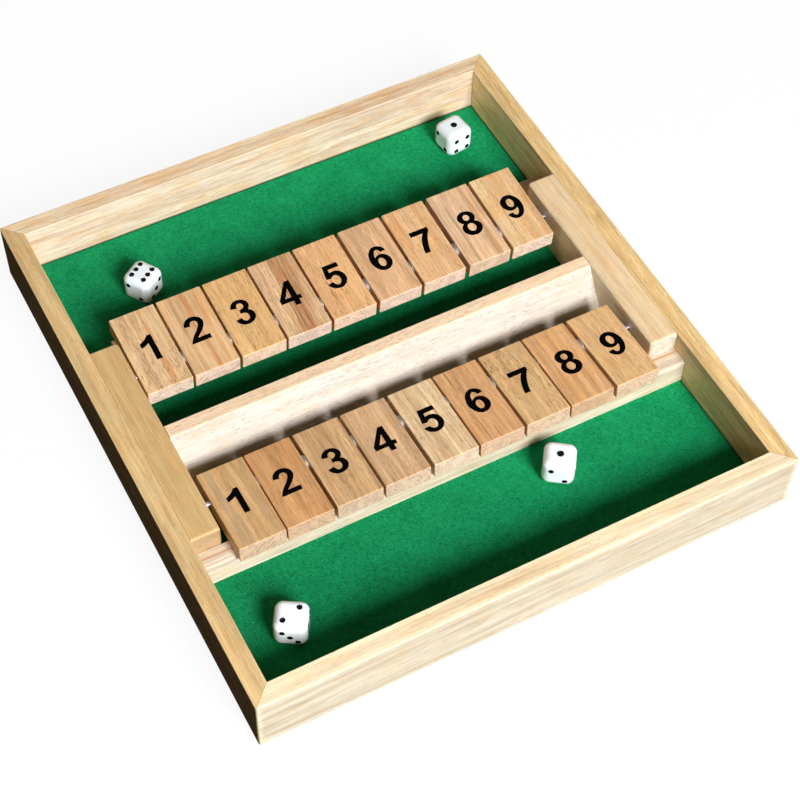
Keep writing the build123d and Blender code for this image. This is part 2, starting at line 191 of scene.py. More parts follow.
def wood(name, tone, along, seed, centre, half, rings=0.5, spacing=2.2, flecks=0.3, fibres=0.5,
         red=0.5, streak=None, stripes=(), warm=0.35, heart=(30.0, -40.0), turn=(0, 0, 0),
         ends=None, painted_light=None, edge=(0.25, 0.7), roughness=0.42, specular=0.3):
    """Varnished wood.

    Growth rings: phase = distance to the heart line / ring spacing + a slow wave. Each ring
    darkens slowly as the phase goes from 0 to 1 and then starts pale again, so the darkness
    is the fraction of the phase raised to a power. `tone` is the mean colour; `rings`,
    `flecks`, `fibres` and `warm` say how strong each layer is; lengths are in millimetres.
    A stripe is (tint, place across the grain, width, wander, strength), `ends` is the tone
    and strength of the sawn ends, `painted_light` is (direction, tone, strength, level at the two ends)
    of painted light and shade on the face turned that way, and `edge` is how strong and how
    wide the pale band along the edges is: wear, and where the band is wide, a painted highlight.
    """
    f = Finish(name, Roughness=roughness, Specular_IOR_Level=specular)
    axis = "XYZ".index(along)
    rng = np.random.default_rng(seed)
    lean = math.radians(float(rng.uniform(-1.5, 1.5)))
    turned = (turn[0], turn[1], turn[2] + lean)
    start = tuple(float(v) for v in rng.uniform(-9, 9, 3))

    def grain(width, length):
        """Coordinates whose units are this wide across the grain and this long along it."""
        unit = [width * MM] * 3
        unit[axis] = length * MM
        return f.place(tuple(unit), start, turned)

    heart_line = [centre[0], centre[1], centre[2]]
    heart_line[1 - axis] += heart[0] * MM
    heart_line[2] += heart[1] * MM
    unit = [MM] * 3
    unit[axis] = 1.0
    to_heart = f.node("VectorMath", {"operation": "LENGTH"}, {0: f.place(tuple(unit), tuple(heart_line), turned)})
    wave = f.noise(grain(7.0, 90.0), 2.0, 0.5)
    phase = f.math("MULTIPLY_ADD", wave, 14.0 / spacing, f.math("DIVIDE", to_heart.outputs["Value"], spacing))
    ring = f.math("POWER", f.math("FRACT", phase), 2.5)
    patch = f.spread(f.noise(grain(9.0, 60.0), 2.0, 0.5), 0.35, 0.65, 0.25, 1.0)
    ring = f.math("MULTIPLY", ring, patch)
    broad = f.noise(grain(4.5, 110.0), 4.0, 0.62, 0.3)
    pale, deep = shade_of(tone, 1 + 0.34 * rings, 0.0), shade_of(tone, 1 - 0.48 * rings, red)
    figure = f.spread(broad, 0.36, 0.64)
    figure = f.math("MULTIPLY_ADD", ring, -0.75, figure)
    colour = f.mix(f.spread(figure, -0.35, 1.0), deep, pale)
    if streak is not None:
        tint, threshold, softness = streak
        slow = f.noise(grain(8.0, 160.0), 3.0, 0.55, 0.3)
        amount = f.spread(slow, threshold, threshold + softness, 0.0, 0.8)
        colour = f.mix(amount, colour, linear(tint))
    if stripes:
        across = f.node("SeparateXYZ", None, {"Vector": f.place((MM, MM, MM), centre, turned)})
        wiggle = f.math("SUBTRACT", f.noise(grain(9.0, 40.0), 2.0, 0.5), 0.5)
        broken = f.spread(f.noise(grain(3.0, 25.0), 3.0, 0.6), 0.38, 0.5, 0.25, 1.0)
    for tint, place_across, width, wander, strength in stripes:
        shifted = f.math("MULTIPLY_ADD", wiggle, 4.0 * wander, across.outputs[1 - axis])
        off = f.math("ABSOLUTE", f.math("SUBTRACT", shifted, place_across))
        amount = f.math("MULTIPLY", f.spread(off, 0.4 * width, width, strength, 0.0), broken)
        colour = f.mix(amount, colour, linear(tint))
    cloud = f.spread(f.noise(grain(6.0, 20.0), 2.0, 0.5, 0.3), 0.46, 0.68, 0.0, warm)
    colour = f.mix(cloud, colour, f.mix(1.0, colour, (1.0, 0.78, 0.52, 1.0), "MULTIPLY"))
    fine = f.noise(grain(0.55, 14.0), 3.0, 0.65)
    shade = f.spread(fine, 0.3, 0.7, 1.0 - 0.5 * fibres, 1.0 + 0.3 * fibres)
    colour = f.mix(1.0, colour, shade, "MULTIPLY")
    pore_noise = f.noise(grain(0.42, 3.6), 1.0, 0.4)
    cluster = f.spread(f.noise(grain(6.0, 30.0), 2.0, 0.5), 0.34, 0.54)
    pore = f.math("MULTIPLY", f.spread(pore_noise, 0.57, 0.67), cluster)
    colour = f.mix(f.math("MULTIPLY", pore, flecks), colour, shade_of(tone, 0.34, 0.8))
    if ends is not None:
        end_tone, strength = ends
        direction = [0.0, 0.0, 0.0]
        direction[axis] = 1.0
        sawn = f.math("MAXIMUM", f.facing(tuple(direction), 0.6, 0.9),
                      f.facing(tuple(-v for v in direction), 0.6, 0.9))
        slow = f.noise(f.place((0.006,) * 3), 2.0, 0.5)
        even = f.math("MULTIPLY_ADD", slow, 3.0, f.math("DIVIDE", to_heart.outputs["Value"], 0.9 * spacing))
        faint = f.spread(f.noise(f.place((0.004,) * 3), 1.0, 0.5), 0.35, 0.6)
        arcs = f.math("MULTIPLY_ADD", f.math("MULTIPLY", f.math("FRACT", even), faint), -0.5, 1.14)
        dots = f.spread(f.noise(f.place((0.0006,) * 3), 2.0, 0.6), 0.35, 0.65, 0.82, 1.15)
        sawn_colour = f.mix(1.0, end_tone, f.math("MULTIPLY", arcs, dots), "MULTIPLY")
        colour = f.mix(f.math("MULTIPLY", sawn, strength), colour, sawn_colour)
    # Painted light and shade: the face turned towards the given direction takes another tone, graded along the
    # piece, for how the lamps fall on it.
    if painted_light is not None:
        direction, painted_light_tone, strength, levels = painted_light
        change = [a / b for a, b in zip(linear(painted_light_tone)[:3], linear(tone)[:3])]
        where = f.node("SeparateXYZ", None, {"Vector": f.place((1, 1, 1), centre, turned)}).outputs[axis]
        level = f.spread(where, -half[axis], half[axis], *levels)
        other = f.mix(1.0, f.mix(1.0, colour, (*change, 1.0), "MULTIPLY"), level, "MULTIPLY")
        colour = f.mix(f.math("MULTIPLY", f.facing(direction, 0.45, 0.85), strength), colour, other)
    # Pale band along the edges: wear from use, and where the band is wide, a painted highlight.
    nicks = f.noise(f.place((0.0016,) * 3, start), 3.0, 0.6)
    strength, width = edge
    distance = f.math("MULTIPLY_ADD", nicks, -1.7 * width * MM, f.edge_distance(centre, half, turn))
    wear_and_highlight = f.spread(distance, -0.6 * width * MM, 0.4 * width * MM, 1.0, 0.0)
    colour = f.mix(f.math("MULTIPLY", wear_and_highlight, strength), colour, shade_of(tone, 1.35, 0.0))
    gloss = f.spread(fine, 0.2, 0.8, roughness - 0.06, roughness + 0.10)
    f.set(f.shader, {"Base_Color": colour,
                     "Roughness": f.math("MULTIPLY_ADD", wear_and_highlight, 0.2, gloss)})
    height = f.math("SUBTRACT", fine, f.math("MULTIPLY", pore, 0.8))
    f.bump(height, 0.4, 0.00012)
    return f


def shade_of(tone, level, red):
    """A tone made darker or paler in linear light. When it is darkened, `red` lets more of
    the green and blue go than of the red, as varnished wood does."""
    light = np.array(linear(tone)[:3]) * level
    if level < 1:
        light *= np.array([1.0, level ** (0.35 * red), level ** (0.8 * red)])
    return (*np.clip(light, 0, 1).tolist(), 1.0)


def box_of(node):
    """Centre and half size of a node's box, for the wood recipe."""
    low, high = (np.array(corner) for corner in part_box(node))
    return {"centre": tuple(((low + high) / 2).tolist()), "half": tuple(((high - low) / 2).tolist())}


def dress(node, material):
    """Gives a solid part its material."""
    slots = nodes[node].data.materials
    slots.clear()
    slots.append(material)


# %% [markdown]
# ## The frame
# The four rails meet at mitred corners, and the joint shows as a fine dark line because the
# grain turns there. The line isn't modelled: it lies where the distance to the outer faces
# is the same on both rails, so the material can find it from the coordinates alone.
# The rails also darken just above the felt: painted shade in the crease where they meet it.

# %% Frame rails


def add_joint_lines_and_foot_shade(f, half_width, half_depth, felt_top):
    """Darkens the finish near the mitre plane, where |x| - half width = |y| - half depth, and
    paints shade along the foot of the rail, where it goes down behind the felt."""
    split = f.node("SeparateXYZ", None, {"Vector": f.place((1, 1, 1))}).outputs
    across = f.math("SUBTRACT", f.math("ABSOLUTE", split[0]), half_width)
    along = f.math("SUBTRACT", f.math("ABSOLUTE", split[1]), half_depth)
    distance = f.math("ABSOLUTE", f.math("SUBTRACT", across, along))
    # The first term is the mitre line; the second is painted shade along the foot of the rail, just above the felt.
    line = f.math("MAXIMUM", f.spread(distance, 0.0001, 0.0005, 0.3, 0.0),
                  f.spread(split[2], felt_top + 0.2 * MM, felt_top + 0.9 * MM, 0.75, 0.0))
    outside = f.math("MAXIMUM", f.spread(across, -0.5 * MM, 0.0), f.spread(along, -0.5 * MM, 0.0))
    line = f.math("MULTIPLY", line, f.math("SUBTRACT", 1.0, outside))
    colour = f.shader.inputs["Base Color"].links[0].from_socket
    f.set(f.shader, {"Base_Color": f.mix(line, colour, linear("6b4a26"))})


half_width, half_depth = cad_box[1][0], cad_box[1][1]
# Painted light and shade: each `painted_light` entry gives the face turned that way another tone for how the lamps
# fall on it, on the faces towards the window lamp and on the right rail's inner face, which is also graded along
# its length. The near rail's wide pale band along its edges is a painted highlight.
rail_looks = {
    "frame_rail_near": dict(tone="f4dfbd", along="X", seed=3, fibres=0.25, rings=0.45, spacing=3.2, flecks=0.2,
                            heart=(-60, 20), painted_light=((0.0, -1.0, 0.0), "d6cdbf", 0.6, (1.0, 1.0)), edge=(0.4, 2.4)),
    "frame_rail_far": dict(tone="fedbb9", along="X", seed=8, rings=0.55, spacing=2.4, flecks=0.25,
                           heart=(45, -30), painted_light=((0.0, -1.0, 0.0), "eed0c4", 0.6, (1.0, 1.0)), warm=0.6),
    "frame_rail_left": dict(tone="dec08c", along="Y", seed=5, fibres=0.3, rings=0.45, spacing=2.6, flecks=0.25,
                            heart=(-50, -25)),
    "frame_rail_right": dict(tone="e7c78f", along="Y", seed=11, rings=0.6, spacing=3.0, flecks=0.25,
                             heart=(60, 15), painted_light=((-1.0, 0.0, 0.0), "ffe6b2", 0.9, (0.65, 1.1))),
}
for node, look in rail_looks.items():
    finish = wood(node + "_wood", **box_of(node), **look)
    add_joint_lines_and_foot_shade(finish, half_width, half_depth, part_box("felt_lining")[1][2])
    dress(node, finish.material)
print("frame rails finished:", len(rail_looks))

# %% [markdown]
# ## Blocks, step rails, ridge and floor board
# These are cut from paler and more even wood than the frame. The ridge is the palest part of
# the game. The floor board only shows from below, as plain unvarnished board.

# %% Inner wooden parts
# Painted light and shade: each `painted_light` entry gives the face turned that way another tone for how the lamps
# fall on it, on the step rails' and the ridge's faces towards the window lamp, and brighter on the shaded left face
# of the right block.
inner_looks = {
    "bearing_block_left": dict(tone="d4b37d", along="Y", seed=21, fibres=0.3, rings=0.3, spacing=2.8, flecks=0.1,
                               heart=(-40, -30), ends=(linear("a58c70"), 0.6)),
    "bearing_block_right": dict(tone="ecd1a8", along="Y", seed=23, fibres=0.3, rings=0.25, spacing=2.8, flecks=0.1,
                                heart=(45, -35), ends=(linear("c6c8c3"), 0.7),
                                painted_light=((-1.0, 0.0, 0.0), "fff0d0", 0.8, (1.0, 1.0))),
    "step_rail_near": dict(tone="d9c8b3", along="X", seed=27, rings=0.4, flecks=0.1,
                           stripes=[("bf8258", 1.8, 0.8, 0.8, 0.7), ("f8e9d8", -1.5, 1.2, 0.8, 0.6)],
                           heart=(-30, -40), painted_light=((0.0, -1.0, 0.0), "dfd2c2", 0.5, (1.0, 1.0))),
    "step_rail_far": dict(tone="e2c9a0", along="X", seed=29, rings=0.5, flecks=0.15,
                          heart=(30, -40), painted_light=((0.0, -1.0, 0.0), "eedcc4", 0.5, (1.0, 1.0))),
    "centre_ridge": dict(tone="f9dcbb", along="X", seed=31, fibres=0.3, rings=0.2, spacing=2.6, flecks=0.45,
                         heart=(8, -50), painted_light=((0.0, -1.0, 0.0), "cac7c2", 0.8, (1.0, 1.0))),
    "base_board": dict(tone="bf9c6c", along="Y", seed=37, rings=0.7, spacing=5.0, flecks=0.3,
                       heart=(40, -120), roughness=0.75, specular=0.2, edge=(0.0, 0.7)),
}
RIDGE_TOP_WIDTH = 7.3 * MM
for node, look in inner_looks.items():
    shape = box_of(node)
    if node == "centre_ridge":
        shape["half"] = (shape["half"][0], RIDGE_TOP_WIDTH / 2, shape["half"][2])
    dress(node, wood(node + "_wood", **shape, **look).material)
print("inner wooden parts finished:", len(inner_looks))

# %% [markdown]
# ## The tiles
# The tiles are offcuts of many boards, so they differ more than the frame does: some are
# reddish, some have grey streaks, some are open-pored. A table gives each tile its own tone
# and figure. The grain runs along the tile, which lies a few degrees up at its outer end, so
# the pattern is turned by the same angle.

# %% Tile finishes
tile_looks = {
    "far_tile_1": dict(tone="e3c296", seed=41, rings=0.7, spacing=3.4, flecks=0.75, heart=(-14, -22),
                       stripes=[("cf9256", 4.0, 2.4, 1.0, 0.6)]),
    "far_tile_2": dict(tone="e0ba8c", seed=42, rings=0.7, spacing=5.5, flecks=0.2, heart=(25, -30),
                       stripes=[("d08a52", 1.0, 2.0, 1.6, 0.7), ("d8985f", 7.5, 1.4, 1.2, 0.6)]),
    "far_tile_3": dict(tone="e3b880", seed=43, rings=0.4, spacing=2.2, flecks=0.6, heart=(-60, -10)),
    "far_tile_4": dict(tone="e9bf95", seed=44, rings=1.0, spacing=1.9, flecks=0.5, heart=(40, -14),
                       fibres=0.9, red=0.9, streak=("ce9c72", 0.50, 0.05),
                       stripes=[("a9683c", 1.5, 4.5, 0.8, 0.35), ("8a5230", 3.0, 0.7, 0.5, 0.6),
                                ("8a5230", -2.0, 0.5, 0.4, 0.5), ("efd0a8", -10.5, 2.5, 0.3, 0.6)]),
    "far_tile_5": dict(tone="e8b885", seed=45, rings=0.4, spacing=2.0, flecks=0.65, heart=(-40, -20)),
    "far_tile_6": dict(tone="e3b98f", seed=46, rings=0.6, spacing=1.7, flecks=0.4, heart=(-35, -12)),
    "far_tile_7": dict(tone="e7bc8d", seed=47, rings=0.4, spacing=2.4, flecks=0.55, heart=(30, -35), warm=0.6),
    "far_tile_8": dict(tone="e3be99", seed=48, ends=(linear("cfb8a3"), 0.8), rings=0.7, spacing=2.8, flecks=0.3, heart=(28, -18),
                       stripes=[("efd2a2", -8.0, 1.6, 0.5, 0.7), ("9c8466", -6.0, 0.35, 0.5, 0.7),
                                ("efd2a2", 4.5, 1.2, 0.6, 0.5), ("c8905e", 7.0, 1.6, 1.2, 0.5)]),
    "far_tile_9": dict(tone="e6bf90", seed=49, rings=0.4, spacing=2.6, flecks=0.45, heart=(-30, -45),
                       warm=0.6, stripes=[("efd3a4", -9.0, 5.4, 0.25, 0.85), ("a98a60", -4.6, 0.3, 0.25, 0.5)]),
    "near_tile_1": dict(tone="d7b07d", seed=51, rings=0.5, spacing=3.0, flecks=0.3, heart=(30, -25),
                        streak=("c3a47c", 0.58, 0.06)),
    "near_tile_2": dict(tone="d5a26f", seed=52, rings=0.5, spacing=2.6, flecks=0.3, heart=(-25, -30)),
    "near_tile_3": dict(tone="d3ae81", seed=53, rings=0.8, spacing=2.2, flecks=0.4, heart=(22, -16),
                        streak=("b9a078", 0.60, 0.05)),
    "near_tile_4": dict(tone="dbb68c", seed=54, rings=0.6, spacing=2.4, flecks=0.4, heart=(-40, -22)),
    "near_tile_5": dict(tone="f7cfa5", seed=55, rings=0.8, spacing=2.0, flecks=0.5, heart=(18, -20),
                        streak=("d2b488", 0.63, 0.05)),
    "near_tile_6": dict(tone="dcab7b", seed=56, rings=0.6, spacing=3.0, flecks=0.3, heart=(36, -34),
                        stripes=[("6e4526", -6.0, 0.3, 0.2, 0.8)]),
    "near_tile_7": dict(tone="deb785", seed=57, rings=0.5, spacing=2.2, flecks=0.7, heart=(-26, -26)),
    "near_tile_8": dict(tone="ddae7c", seed=58, rings=0.6, spacing=3.2, flecks=0.4, heart=(24, -28),
                        ends=(linear("c1a085"), 0.8)),
    "near_tile_9": dict(tone="e7bd88", seed=59, rings=0.4, spacing=2.4, flecks=0.45, heart=(-34, -30)),
}
rest_tilt = math.radians(4.01)
half_tile = (12.5 * MM, tile_length / 2 * MM, tile_thickness / 2 * MM)
for node, look in tile_looks.items():
    row_turn = rest_tilt if node.startswith("far") else -rest_tilt
    common, middle = ("d7c4b4", "e3ba8a") if node.startswith("far") else ("c9b09c", "ddb587")
    own = [(a / b) ** 0.4 for a, b in zip(linear(look["tone"]), linear(middle))]
    end_tone = tuple(a * b for a, b in zip(linear(common), own))
    look = dict({"ends": (end_tone, 0.8)}, **look, along="Y", turn=(row_turn, 0, 0), edge=(0.12, 0.7))
    dress(node, wood(node + "_wood", centre=box_of(node)["centre"], half=half_tile, **look).material)
print("tiles finished:", len(tile_looks))

# %% [markdown]
# ## Steel and plastic
# The rods are drawn wire, with faint lines along their length. The thin washers between the
# tiles are duller and darker, and the screws are zinc plated. The dice are polished plastic,
# a little bluish, and smooth enough to mirror the room.

# %% Rods, screws and dice


def drawn_steel(name, colour, roughness, along="X"):
    """Bright metal with fine lines along one axis, from noise squeezed along it."""
    unit = [0.0002] * 3
    unit["XYZ".index(along)] = 0.01
    f = Finish(name, Metallic=1.0, Roughness=roughness)
    lines = f.noise(f.place(tuple(unit)), 2.0)
    tone = f.mix(lines, linear(colour), shade_of(colour, 1.5, 0.0))
    f.set(f.shader, {"Base_Color": tone, "Roughness": f.spread(lines, 0.2, 0.8, roughness, roughness + 0.15)})
    f.bump(lines, 0.15, 0.00002)
    return f.material


steel = drawn_steel("rod_steel", "c4bfd2", 0.22)
zinc = drawn_steel("screw_zinc", "a8a8a4", 0.38, "Z")
washer_steel = drawn_steel("washer_steel", "8e847e", 0.55)
plastic = Finish("dice_plastic", Roughness=0.16, Specular_IOR_Level=0.5, Coat_Weight=0.3, Coat_Roughness=0.08)
haze = plastic.noise(plastic.place((0.0025,) * 3), 3.0)
scuffs = plastic.noise(plastic.place((0.0004,) * 3), 3.0, 0.7)
plastic.set(plastic.shader, {"Base_Color": plastic.mix(haze, linear("ebf6fc"), linear("f4fbff")),
                             "Roughness": plastic.spread(scuffs, 0.35, 0.75, 0.12, 0.3)})
plastic.bump(haze, 0.08, 0.0002)
for node in nodes:
    if node.startswith("tile_rod"):
        dress(node, steel)
    elif node.endswith("screws"):
        dress(node, zinc)
    elif node.endswith("washers"):
        dress(node, washer_steel)
    elif node.startswith("die_"):
        dress(node, plastic.material)

# %% [markdown]
# ## A helper for new pieces
# Every new piece below is a surface worked out with numpy. This helper puts the arrays into
# a mesh, gives it its finish, and makes it move with one of the bodies of the game.

# %% From arrays to a piece


def add_piece(name, points, faces, material, body, smooth=True):
    """A mesh object from an array of points in metres and a list of faces."""
    mesh = bpy.data.meshes.new(name)
    mesh.from_pydata(np.asarray(points).tolist(), [], [tuple(map(int, face)) for face in faces])
    mesh.validate()
    mesh.materials.append(material)
    if smooth:
        mesh.shade_smooth()
    piece = bpy.data.objects.new(name, mesh)
    bpy.context.scene.collection.objects.link(piece)
    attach(piece, body)
    return piece


def grid_quads(rows, columns, wrap=False):
    """Quads between neighbouring points of a rows x columns grid, counted row by row.
    With wrap, the last column joins the first."""
    i, j = np.meshgrid(np.arange(rows - 1), np.arange(columns if wrap else columns - 1), indexing="ij")
    a = i * columns + j
    b = i * columns + (j + 1) % columns
    return np.stack([a, b, b + columns, a + columns], axis=-1).reshape(-1, 4)


print("a 3 x 3 grid has", len(grid_quads(3, 3)), "quads")

# %% [markdown]
# ## The felt
# The floor is lined with one sheet of short-napped wool felt, about a millimetre thick, that
# runs under the blocks, the step rails and the ridge. A flat plane would look like painted
# card, so the sheet is a grid whose height ripples by a few hundredths of a millimetre, and
# its fibres come from several noises in the bump and colour. Its soft look at flat angles is
# sheen, which is light caught by the fibre ends. Its colour also carries painted light and
# shade: it grows paler towards the far right corner, and it darkens along the walls and in a
# band just beyond the ridge.

# %% Felt finish
felt = Finish("green_felt", Roughness=0.95, Specular_IOR_Level=0.08, Sheen_Weight=0.12,
              Sheen_Roughness=0.5, Sheen_Tint=linear("3fd08c"))
low, high = (np.array(corner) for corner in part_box("felt_lining"))
clouds = felt.noise(felt.place((0.016,) * 3), 3.0, 0.55)
mottle = felt.noise(felt.place((0.0022,) * 3), 3.0, 0.6, 0.4)
fuzz = felt.noise(felt.place((0.0006,) * 3), 2.0, 0.7, 1.2)
strands = felt.noise(felt.place((0.0005, 0.0016, 0.0010), (0.3, 0.2, 0.1), (0, 0, 0.6)), 2.0, 0.7, 0.8)
tone = felt.math("ADD", felt.math("MULTIPLY", mottle, 0.18), felt.math("MULTIPLY", fuzz, 0.36))
tone = felt.math("ADD", tone, felt.math("MULTIPLY", strands, 0.46))
tone = felt.math("ADD", felt.math("MULTIPLY", tone, 0.87), felt.math("MULTIPLY", clouds, 0.13))
green = felt.mix(felt.spread(tone, 0.38, 0.62), linear("005c34"), linear("1ea467"))
spot = felt.place((1, 1, 1))
# Painted light: the felt's colour grows paler towards the far right corner and darker towards the near left,
# standing in for the light falling off across the tray.
painted_falloff = felt.node("VectorMath", {"operation": "DOT_PRODUCT"}, {0: spot, 1: (1.1, 0.85, 0.0)}).outputs["Value"]
painted_falloff = felt.math("ADD", painted_falloff, 1.0)
green = felt.mix(1.0, green, painted_falloff, "MULTIPLY")
split = felt.node("SeparateXYZ", None, {"Vector": spot}).outputs
to_wall = felt.math("MINIMUM", felt.math("SUBTRACT", float(high[0]), felt.math("ABSOLUTE", split[0])),
                    felt.math("SUBTRACT", float(high[1]), felt.math("ABSOLUTE", split[1])))
# Painted shade: the felt darkens to about a third within 1.2 mm of its edges at the walls.
green = felt.mix(1.0, green, felt.spread(to_wall, 0.0, 0.0012, 0.35, 1.0), "MULTIPLY")
# Painted shade: the felt darkens in a band about 9 mm wide just beyond the ridge, where the ridge shades it.
ridge_low, ridge_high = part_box("centre_ridge")
behind = felt.math("SUBTRACT", split[1], float(ridge_high[1]))
behind = felt.math("MAXIMUM", felt.spread(behind, 0.0, 0.009, 0.3, 1.0), felt.spread(behind, -0.001, -0.002))
felt.set(felt.shader, {"Base_Color": felt.mix(1.0, green, behind, "MULTIPLY")})
felt.bump(tone, 0.7, 0.0003)

# %% Felt sheet


def felt_sheet(across, along):
    """A closed slab. Its top is a grid with height = top + ripple(x, y), where the ripple is
    a sum of slow sines, and its edge row drops to the underside."""
    s = np.linspace(0, 1, across)
    t = np.linspace(0, 1, along)
    s, t = np.meshgrid(s, t, indexing="ij")
    x = low[0] + (high[0] - low[0]) * s
    y = low[1] + (high[1] - low[1]) * t
    ripple = np.sin(190 * x + 40 * y) + np.sin(230 * y - 70 * x) + np.sin(310 * x + 260 * y)
    z = high[2] + 0.012 * MM * ripple
    top = np.stack([x, y, z], axis=-1).reshape(-1, 3)
    base = top.copy()
    base[:, 2] = low[2]
    count = across * along
    upper = grid_quads(across, along)[:, ::-1]
    lower = grid_quads(across, along) + count
    i = np.arange(across - 1) * along
    j = np.arange(along - 1)
    last = (across - 1) * along
    sides = [
        np.stack([i, i + along, i + along + count, i + count], axis=-1)[:, ::-1],
        np.stack([i, i + along, i + along + count, i + count], axis=-1) + along - 1,
        np.stack([j, j + 1, j + 1 + count, j + count], axis=-1),
        (np.stack([j, j + 1, j + 1 + count, j + count], axis=-1) + last)[:, ::-1],
    ]
    return np.concatenate([top, base]), np.concatenate([upper, lower, *sides])


points, quads = felt_sheet(150, 160)
felt_piece = add_piece("felt_sheet", points, quads, felt.material, "box", smooth=False)
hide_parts("felt_lining")
print("felt", [round(float(v) / MM, 1) for v in high - low], "mm,", len(quads), "quads")

# %% [markdown]
# ## The numerals
# Each tile carries a bold black numeral, printed flat. A font would do, but a drawn outline
# travels with the file. Each outline is a list of corners: a pair is the end of a straight
# line, and four numbers are the end of a curve together with the point where the lines
# through its two ends meet. That point fixes a cubic curve close to a quarter of an ellipse.

# %% Numeral outlines, in millimetres from the middle of each numeral
six = [[(5.1, 4.2), (4.4, 8.2, 0.4, 8.2), (-5.55, 8.2, -5.55, -0.4), (-5.55, -8.2, 0.15, -8.2),
        (5.55, -8.2, 5.55, -2.95), (5.55, 2.3, 1.0, 2.3), (-1.2, 2.3, -2.4, 0.6),
        (-2.3, 6.2, 0.5, 6.2), (2.0, 6.2, 2.35, 3.85)],
       [(2.4, -2.75), (2.4, 0.45, 0.25, 0.45), (-1.9, 0.45, -1.9, -2.75),
        (-1.9, -5.95, 0.25, -5.95), (2.4, -5.95, 2.4, -2.75)]]
outlines = {
    1: [[(3.7, 8.0), (3.7, -8.0), (0.85, -8.0), (0.85, 3.6), (-1.2, 2.1, -3.7, 1.6),
         (-3.7, 4.2), (0.2, 5.4, 1.6, 8.0)]],
    2: [[(5.35, -8.05), (-5.35, -8.05), (-5.0, -5.6, -0.9, -1.9), (2.5, 1.2, 2.5, 3.5),
         (2.5, 5.75, 0.2, 5.75), (-2.1, 5.75, -2.1, 3.0), (-5.05, 3.35), (-4.9, 8.05, 0.2, 8.05),
         (5.35, 8.05, 5.35, 3.5), (5.35, 0.7, 2.0, -2.2), (-0.6, -4.5, -1.5, -5.55),
         (5.35, -5.55)]],
    3: [[(-5.15, 4.0), (-4.6, 8.15, -0.3, 8.15), (4.7, 8.15, 4.7, 3.9), (4.7, 1.5, 2.6, 0.5),
         (5.4, -0.3, 5.4, -3.3), (5.4, -8.15, -0.1, -8.15), (-4.9, -8.15, -5.35, -3.9),
         (-2.35, -3.4), (-2.0, -6.1, -0.1, -6.1), (2.35, -6.1, 2.35, -3.2),
         (2.35, -0.55, -0.3, -0.55), (-1.35, -0.5), (-1.2, 1.6), (2.0, 1.5, 2.0, 3.9),
         (2.0, 6.15, -0.2, 6.15), (-2.2, 6.15, -2.2, 3.5)]],
    4: [[(1.1, -8.15), (1.1, -4.9), (-5.9, -4.9), (-5.9, -2.5), (1.4, 8.15), (3.9, 8.15),
         (3.9, -2.6), (5.9, -2.6), (5.9, -4.9), (3.9, -4.9), (3.9, -8.15)],
        [(1.1, -2.6), (1.1, 3.9), (-3.0, -2.6)]],
    5: [[(-3.7, 8.0), (4.8, 8.0), (4.8, 5.35), (-1.6, 5.35), (-2.0, 2.7), (-0.7, 3.1, 0.6, 3.1),
         (5.55, 3.1, 5.55, -2.4), (5.55, -8.1, -0.1, -8.1), (-5.0, -8.1, -5.55, -3.9),
         (-2.55, -3.55), (-2.1, -5.95, -0.1, -5.95), (2.5, -5.95, 2.5, -2.5),
         (2.5, 0.75, -0.1, 0.75), (-1.5, 0.75, -2.4, -0.7), (-5.0, -0.35)]],
    6: six,
    7: [[(-5.45, 7.85), (5.45, 7.85), (5.45, 5.7), (0.7, 0.4, -0.2, -7.8), (-3.15, -7.8),
         (-2.7, 0.3, 1.9, 5.05), (-5.45, 5.05)]],
    8: [[(-0.25, 8.35), (4.7, 8.35, 4.7, 4.1), (4.7, 1.5, 2.7, 0.6), (5.55, -0.4, 5.55, -3.3),
         (5.55, -8.35, 0.0, -8.35), (-5.55, -8.35, -5.55, -3.3), (-5.55, -0.4, -3.1, 0.6),
         (-5.2, 1.5, -5.2, 4.1), (-5.2, 8.35, -0.25, 8.35)],
        [(1.8, 4.05), (1.8, 6.3, -0.2, 6.3), (-2.2, 6.3, -2.2, 4.05), (-2.2, 1.8, -0.2, 1.8),
         (1.8, 1.8, 1.8, 4.05)],
        [(2.4, -2.95), (2.4, 0.0, -0.1, 0.0), (-2.6, 0.0, -2.6, -2.95),
         (-2.6, -5.9, -0.1, -5.9), (2.4, -5.9, 2.4, -2.95)]],
    9: [[tuple(-c for c in corner) for corner in loop] for loop in six],
}
QUARTER_ELLIPSE = 0.5523


def loop_points(loop, steps=9):
    """Points along one outline. A curve from p to q with meeting point m is the cubic with
    handles p + k(m - p) and q + k(m - q), where k makes it follow a quarter ellipse."""
    points = [np.array(loop[0])]
    for corner in loop[1:]:
        p, q = points[-1], np.array(corner[-2:])
        if len(corner) == 2:
            points.append(q)
            continue
        m = np.array(corner[:2])
        a, b = p + QUARTER_ELLIPSE * (m - p), q + QUARTER_ELLIPSE * (m - q)
        t = np.linspace(0, 1, steps + 1)[1:, None]
        curve = (1 - t) ** 3 * p + 3 * t * (1 - t) ** 2 * a + 3 * t * t * (1 - t) * b + t ** 3 * q
        points.extend(curve)
    points = np.array(points)
    return points[:-1] if np.allclose(points[0], points[-1]) else points


def thicken(points, amount):
    """The outline with every side moved outwards by an amount, or inwards if it is negative.
    A corner moves along the sum of its two sides' normals n and m, divided by 1 + n . m. The
    outline's signed area tells on which side the outside is."""
    side = np.roll(points, -1, axis=0) - points
    normal = np.column_stack([side[:, 1], -side[:, 0]]) / np.linalg.norm(side, axis=1)[:, None]
    before = np.roll(normal, 1, axis=0)
    area = float((points[:, 0] * side[:, 1] - points[:, 1] * side[:, 0]).sum())
    corner = (normal + before) / np.maximum(1 + (normal * before).sum(axis=1), 0.4)[:, None]
    return points + math.copysign(amount, area * amount) * corner


INK_SPREAD = 0.17
print("the numeral 2 has", len(loop_points(outlines[2][0])), "outline points")

